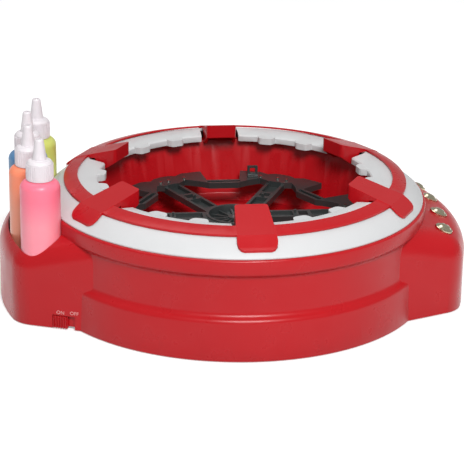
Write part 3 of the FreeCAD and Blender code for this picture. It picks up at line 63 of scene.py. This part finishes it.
def scaled(colour, factor):
    return tuple(min(1.0, c * factor) for c in colour[:3]) + (1.0,)


# Material building


class Look:
    """A material with its shader and object-space texture nodes."""

    def __init__(self, name, **sockets):
        self.material = bpy.data.materials.new(name)
        self.material.use_nodes = True
        self.nodes = self.material.node_tree.nodes
        self.links = self.material.node_tree.links
        self.shader = self.nodes["Principled BSDF"]
        for key, value in sockets.items():
            self.shader.inputs[key.replace("_", " ")].default_value = value
        self.place = self.nodes.new("ShaderNodeTexCoord").outputs["Object"]
        self.normal = None

    def link(self, source, target):
        self.links.new(source, target)

    def noise(self, scale, detail=2.0, roughness=0.5, stretch=None):
        texture = self.nodes.new("ShaderNodeTexNoise")
        texture.inputs["Scale"].default_value = scale
        texture.inputs["Detail"].default_value = detail
        texture.inputs["Roughness"].default_value = roughness
        source = self.place
        if stretch:
            mapping = self.nodes.new("ShaderNodeMapping")
            mapping.inputs["Scale"].default_value = stretch
            self.link(source, mapping.inputs["Vector"])
            source = mapping.outputs["Vector"]
        self.link(source, texture.inputs["Vector"])
        return texture.outputs["Fac"]

    def ramp(self, factor, *stops):
        """A colour ramp through (position, colour) stops."""
        node = self.nodes.new("ShaderNodeValToRGB")
        elements = node.color_ramp.elements
        while len(elements) < len(stops):
            elements.new(0.5)
        for element, (position, colour) in zip(elements, stops):
            element.position = position
            element.color = colour
        self.link(factor, node.inputs["Fac"])
        return node.outputs["Color"]

    def mix(self, factor, first, second):
        """Mixes two colours or colour outputs by a factor output."""
        node = self.nodes.new("ShaderNodeMix")
        node.data_type = "RGBA"
        self.link(factor, node.inputs["Factor"])
        for key, value in (("A", first), ("B", second)):
            socket = next(s for s in node.inputs if s.name == key and s.type == "RGBA")
            if isinstance(value, tuple):
                socket.default_value = value
            else:
                self.link(value, socket)
        return next(s for s in node.outputs if s.type == "RGBA")

    def band(self, factor, low, high, out_low, out_high):
        """Maps a factor's range to another range."""
        node = self.nodes.new("ShaderNodeMapRange")
        for key, value in (("From Min", low), ("From Max", high), ("To Min", out_low), ("To Max", out_high)):
            node.inputs[key].default_value = value
        self.link(factor, node.inputs["Value"])
        return node.outputs["Result"]

    def height(self):
        """The place's Z, in metres."""
        node = self.nodes.new("ShaderNodeSeparateXYZ")
        self.link(self.place, node.inputs["Vector"])
        return node.outputs["Z"]

    def colour(self, output):
        self.link(output, self.shader.inputs["Base Color"])

    def roughness(self, output):
        self.link(output, self.shader.inputs["Roughness"])

    def bump(self, height, strength, distance):
        """Adds a bump on top of those already there."""
        node = self.nodes.new("ShaderNodeBump")
        node.inputs["Strength"].default_value = strength
        node.inputs["Distance"].default_value = distance
        self.link(height, node.inputs["Height"])
        if self.normal:
            self.link(self.normal, node.inputs["Normal"])
        self.normal = node.outputs["Normal"]
        self.link(self.normal, self.shader.inputs["Normal"])

    def edges(self, radius):
        """About 1 on edges and corners and 0 on flat ground, from a rounded normal."""
        rounded = self.nodes.new("ShaderNodeBevel")
        rounded.inputs["Radius"].default_value = radius
        rounded.samples = 4
        geometry = self.nodes.new("ShaderNodeNewGeometry")
        dot = self.nodes.new("ShaderNodeVectorMath")
        dot.operation = "DOT_PRODUCT"
        self.link(rounded.outputs["Normal"], dot.inputs[0])
        self.link(geometry.outputs["Normal"], dot.inputs[1])
        return self.band(dot.outputs["Value"], 1.0, 0.7, 0.0, 1.0)


# Surface grain that moulded plastic shows, in cycles per metre

MOTTLE_SCALE = 7.0
CLOUD_SCALE = 45.0
GRAIN_SCALE = 1500.0
DUST_SCALE = 420.0
BRUSH_SCALE = 900.0
GROUND_SCALE = 3.0

# Depths of the grain, and reach of the painted highlight on edges, in metres

GRAIN_DEPTH = 0.0002
CLOUD_DEPTH = 0.0008
BRUSH_DEPTH = 0.0001
DENT_DEPTH = 0.0004
EDGE_HIGHLIGHT_REACH = 0.0006

# Heights between which a bottle's tint deepens

TINT_BOTTOM = 0.03
TINT_TOP = 0.118


def moulded_plastic(name, colour, roughness, mottle=0.06, grain=0.05, edge_highlight_gain=1.25, **sockets):
    """Injection-moulded plastic: slow colour drift, cloudy gloss, fine grain and a painted highlight that
    lightens edges and corners.
    """
    look = Look(name, **sockets)
    drift = look.ramp(look.noise(MOTTLE_SCALE, 3.0), (0.3, scaled(colour, 1 - mottle)),
                      (0.7, scaled(colour, 1 + mottle)))
    # Painted highlight: edges and corners get a lighter copy of the colour, standing in for light caught by
    # rounded edges.
    edge_lit_colour = look.mix(look.edges(EDGE_HIGHLIGHT_REACH), drift, scaled(colour, edge_highlight_gain))
    look.colour(edge_lit_colour)
    look.roughness(look.band(look.noise(CLOUD_SCALE, 4.0), 0.3, 0.7, roughness - 0.05, roughness + 0.06))
    look.bump(look.noise(GRAIN_SCALE, 2.0), grain, GRAIN_DEPTH)
    look.bump(look.noise(CLOUD_SCALE, 2.0), 0.02, CLOUD_DEPTH)
    return look.material


RED = tone(180, 18, 26)
WHITE = tone(204, 205, 206)
DARK_GREY = tone(46, 50, 50)


def red_plastic():
    return moulded_plastic("red_plastic", RED, 0.3, mottle=0.05, Specular_IOR_Level=0.32)


def white_plastic():
    return moulded_plastic("white_plastic", WHITE, 0.45, mottle=0.02, grain=0.04, edge_highlight_gain=1.1)


def grey_plastic():
    return moulded_plastic("grey_plastic", DARK_GREY, 0.34, mottle=0.08, grain=0.12, edge_highlight_gain=2.0,
                           Specular_IOR_Level=0.7)


def black_plastic():
    return moulded_plastic("black_plastic", tone(30, 30, 32), 0.5, grain=0.1)


def natural_plastic():
    return moulded_plastic("natural_plastic", tone(226, 220, 205), 0.5, mottle=0.03)


def board_plastic():
    return moulded_plastic("board_green", tone(28, 98, 52), 0.35)


def cell_jacket():
    return moulded_plastic("cell_jacket", tone(52, 56, 62), 0.3, mottle=0.03, grain=0.02)


def rubber():
    return moulded_plastic("rubber", tone(34, 34, 35), 0.8, mottle=0.1, grain=0.25, edge_highlight_gain=1.4)


def metal(name, colour, roughness, brush=(1.0, 1.0, 1.0)):
    """Bare metal with fine brushing along the mapping's least stretched axis."""
    look = Look(name, Metallic=1.0)
    streaks = look.noise(BRUSH_SCALE, 3.0, stretch=brush)
    look.colour(look.ramp(streaks, (0.35, scaled(colour, 0.86)), (0.65, scaled(colour, 1.08))))
    look.roughness(look.band(streaks, 0.3, 0.7, roughness - 0.06, roughness + 0.1))
    look.bump(streaks, 0.05, BRUSH_DEPTH)
    return look.material


def steel():
    return metal("steel", tone(176, 176, 180), 0.28, brush=(1.0, 1.0, 0.08))


def plated_steel():
    return metal("plated_steel", tone(205, 203, 196), 0.2)


def button_metal():
    return metal("button_metal", tone(214, 205, 176), 0.16)


def bronze():
    return metal("bronze", tone(168, 128, 72), 0.4)


def squeeze_plastic(name, colour, pale):
    """Milky squeeze-bottle plastic over paint: richer at the shoulder, paler down the body."""
    look = Look(name, Subsurface_Weight=0.25, Subsurface_Radius=(0.004, 0.003, 0.003), IOR=1.46)
    rise = look.band(look.height(), TINT_BOTTOM, TINT_TOP, 0.0, 1.0)
    body = look.ramp(rise, (0.0, pale), (0.62, pale), (0.86, colour), (1.0, colour))
    cloud = look.band(look.noise(CLOUD_SCALE, 3.0), 0.3, 0.7, 0.0, 0.25)
    look.colour(look.mix(cloud, body, scaled(colour, 0.96)))
    look.roughness(look.band(look.noise(70.0, 3.0), 0.3, 0.7, 0.3, 0.4))
    look.bump(look.noise(260.0, 2.0), 0.06, DENT_DEPTH)
    return look.material


def cap_plastic():
    look = Look("cap_white", Subsurface_Weight=0.2, Subsurface_Radius=(0.003, 0.003, 0.003))
    body = tone(228, 222, 226)
    look.colour(look.ramp(look.noise(60.0, 3.0), (0.3, scaled(body, 0.97)), (0.7, scaled(body, 1.02))))
    look.roughness(look.band(look.noise(CLOUD_SCALE, 3.0), 0.3, 0.7, 0.36, 0.46))
    look.bump(look.noise(DUST_SCALE, 2.0), 0.05, GRAIN_DEPTH)
    return look.material


BOTTLE_TONES = {
    "pink": (tone(255, 126, 150), tone(255, 156, 170)),
    "orange": (tone(255, 148, 112), tone(245, 166, 138)),
    "blue": (tone(92, 142, 188), tone(104, 150, 194)),
    "yellow": (tone(208, 214, 112), tone(216, 218, 132)),
}


def materials():
    """The material of every slot in the record."""
    made = {
        "red_plastic": red_plastic(),
        "white_plastic": white_plastic(),
        "grey_plastic": grey_plastic(),
        "black_plastic": black_plastic(),
        "natural_plastic": natural_plastic(),
        "board": board_plastic(),
        "cell_jacket": cell_jacket(),
        "rubber": rubber(),
        "steel": steel(),
        "plated_steel": plated_steel(),
        "button_metal": button_metal(),
        "bronze": bronze(),
        "cap_white": cap_plastic(),
    }
    for colour, (deep, pale) in BOTTLE_TONES.items():
        made[f"bottle_{colour}"] = squeeze_plastic(f"bottle_{colour}", deep, pale)
        made[f"paint_{colour}"] = moulded_plastic(f"paint_{colour}", deep, 0.25)
    return made


MATERIALS = materials()


def dress(thing, material):
    thing.data.materials.clear()
    thing.data.materials.append(material)
    return thing


def dress_nodes():
    """Gives each node of the frame the material of its slot."""
    for part in frame["record"]["subparts"]:
        dress(NODES[part["node"]], MATERIALS[part["material_slot"]])


WELD_REACH = 0.00001
FLAT_ANGLE = math.radians(0.6)


def soften(node, width, segments, angle):
    """Rounds a node's sharp edges with modifiers and leaves its mesh as it is."""
    thing = NODES[node]
    weld = thing.modifiers.new("weld", "WELD")
    weld.merge_threshold = WELD_REACH
    flat = thing.modifiers.new("flat", "DECIMATE")
    flat.decimate_type = "DISSOLVE"
    flat.angle_limit = FLAT_ANGLE
    bevel = thing.modifiers.new("bevel", "BEVEL")
    bevel.width = width
    bevel.segments = segments
    bevel.limit_method = "ANGLE"
    bevel.angle_limit = math.radians(angle)
    bevel.harden_normals = True


# Stage

WORLD_LIGHT = 0.36
KEY_PLACE, KEY_SIZE, KEY_POWER = (0.1, -1.75, 1.65), 0.8, 47.0
TOP_PLACE, TOP_SIZE, TOP_POWER = (-0.4, 0.7, 2.5), 1.6, 14.0
FLOOR_HALF = 6.0
FLOOR_BOUNCE = 0.55
FLOOR_GLOW = 0.3


def seen(look):
    """1 for rays that show a surface to the camera, directly, mirrored or through glass."""
    path = look.nodes.new("ShaderNodeLightPath")
    total = path.outputs["Is Camera Ray"]
    for name in ("Is Glossy Ray", "Is Transmission Ray"):
        add = look.nodes.new("ShaderNodeMath")
        add.operation = "MAXIMUM"
        look.link(total, add.inputs[0])
        look.link(path.outputs[name], add.inputs[1])
        total = add.outputs["Value"]
    return total


def floor():
    """White ground that keeps the shadow and lights the machine's underside only a little."""
    mesh = bpy.data.meshes.new("floor")
    corners = [(x * FLOOR_HALF, y * FLOOR_HALF, 0) for x, y in ((-1, -1), (1, -1), (1, 1), (-1, 1))]
    mesh.from_pydata(corners, [], [(0, 1, 2, 3)])
    thing = bpy.data.objects.new("floor", mesh)
    bpy.context.scene.collection.objects.link(thing)
    look = Look("floor", Roughness=0.9, Specular_IOR_Level=0.0)
    look.shader.inputs["Emission Color"].default_value = (1.0, 1.0, 1.0, 1.0)
    ground = look.ramp(look.noise(GROUND_SCALE, 2.0), (0.4, (0.93, 0.93, 0.93, 1.0)),
                       (0.6, (0.95, 0.95, 0.95, 1.0)))
    shown = seen(look)
    look.colour(look.mix(shown, (FLOOR_BOUNCE, FLOOR_BOUNCE, FLOOR_BOUNCE, 1.0), ground))
    look.link(look.band(shown, 0.0, 1.0, 0.0, FLOOR_GLOW), look.shader.inputs["Emission Strength"])
    dress(thing, look.material)


def area_light(name, place, size, power, target=(0.0, 0.0, 0.05)):
    data = bpy.data.lights.new(name, "AREA")
    data.shape = "DISK"
    data.size = size
    data.energy = power
    thing = bpy.data.objects.new(name, data)
    bpy.context.scene.collection.objects.link(thing)
    thing.location = place
    thing.rotation_mode = "QUATERNION"
    thing.rotation_quaternion = (Vector(target) - Vector(place)).to_track_quat("-Z", "Y")
    return thing


def lights():
    world = bpy.data.worlds.new("studio")
    world.use_nodes = True
    background = world.node_tree.nodes["Background"]
    background.inputs["Color"].default_value = (1.0, 1.0, 1.0, 1.0)
    background.inputs["Strength"].default_value = WORLD_LIGHT
    bpy.context.scene.world = world
    area_light("key", KEY_PLACE, KEY_SIZE, KEY_POWER)
    area_light("top", TOP_PLACE, TOP_SIZE, TOP_POWER)
    bpy.context.scene.view_settings.view_transform = "Standard"


def camera():
    """Camera at the photo's angle: turned about Z, raised, then rolled about its own axis."""
    turn = Matrix.Rotation(CAMERA_AZIMUTH, 3, "Z")
    back = turn @ Vector((0, -math.cos(CAMERA_ELEVATION), math.sin(CAMERA_ELEVATION)))
    level = turn @ Vector((1, 0, 0))
    above = turn @ Vector((0, math.sin(CAMERA_ELEVATION), math.cos(CAMERA_ELEVATION)))
    right = level * math.cos(CAMERA_ROLL) + above * math.sin(CAMERA_ROLL)
    up = above * math.cos(CAMERA_ROLL) - level * math.sin(CAMERA_ROLL)
    data = bpy.data.cameras.new("camera")
    data.lens = CAMERA_LENS
    data.sensor_width = SENSOR_WIDTH
    thing = bpy.data.objects.new("camera", data)
    bpy.context.scene.collection.objects.link(thing)
    turned = Matrix((right, up, back)).transposed().to_4x4()
    thing.matrix_world = Matrix.Translation(turn @ Vector(CAMERA_TARGET) + back * CAMERA_DISTANCE) @ turned
    bpy.context.scene.camera = thing


# Lettering by the switch: distance along the pocket's front face, height, text

FACE_ANGLE = math.radians(68.3)
FACE_DISTANCE = 0.137
SWITCH_WORDS = (("ON", -0.1105, 0.0138), ("OFF", -0.0985, 0.0142))
WORD_SIZE = 0.0044
WORD_DEPTH = 0.0001


def switch_words():
    """Small printed ON and OFF above the switch, on the lobe's flat face."""
    normal = Vector((-math.cos(FACE_ANGLE), -math.sin(FACE_ANGLE), 0))
    along = Vector((math.sin(FACE_ANGLE), -math.cos(FACE_ANGLE), 0))
    ink = moulded_plastic("switch_print", tone(214, 150, 148), 0.5, mottle=0.02)
    for text, place, height in SWITCH_WORDS:
        curve = bpy.data.curves.new(f"word_{text}", "FONT")
        curve.body = text
        curve.size = WORD_SIZE
        curve.align_x = "CENTER"
        curve.extrude = WORD_DEPTH
        flat = bpy.data.objects.new(f"word_{text}_curve", curve)
        mesh = bpy.data.meshes.new_from_object(flat)
        bpy.data.objects.remove(flat)
        thing = bpy.data.objects.new(f"switch_word_{text}", mesh)
        bpy.context.scene.collection.objects.link(thing)
        axes = Matrix((along, Vector((0, 0, 1)), normal)).transposed().to_4x4()
        spot = normal * (FACE_DISTANCE + WORD_DEPTH) + along * place + Vector((0, 0, height))
        thing.matrix_world = Matrix.Translation(spot) @ axes
        dress(thing, ink)
        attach(thing, "housing")


# Each softened node's rounding in metres, its steps and the least angle in degrees

SOFT_EDGES = {
    "upper_body": (0.0008, 3, 28),
    "splash_basin": (0.0006, 2, 32),
    "splash_ring": (0.0005, 2, 32),
    "clamp_wheel": (0.0007, 3, 30),
    "spinner_frame": (0.0005, 2, 40),
    "card_clips": (0.0003, 2, 40),
    "switch_knob": (0.0003, 2, 40),
    "battery_door": (0.0004, 2, 40),
}

dress_nodes()
for soft_node, (soft_width, soft_steps, soft_angle) in SOFT_EDGES.items():
    soften(soft_node, soft_width, soft_steps, soft_angle)
switch_words()
floor()
lights()
camera()
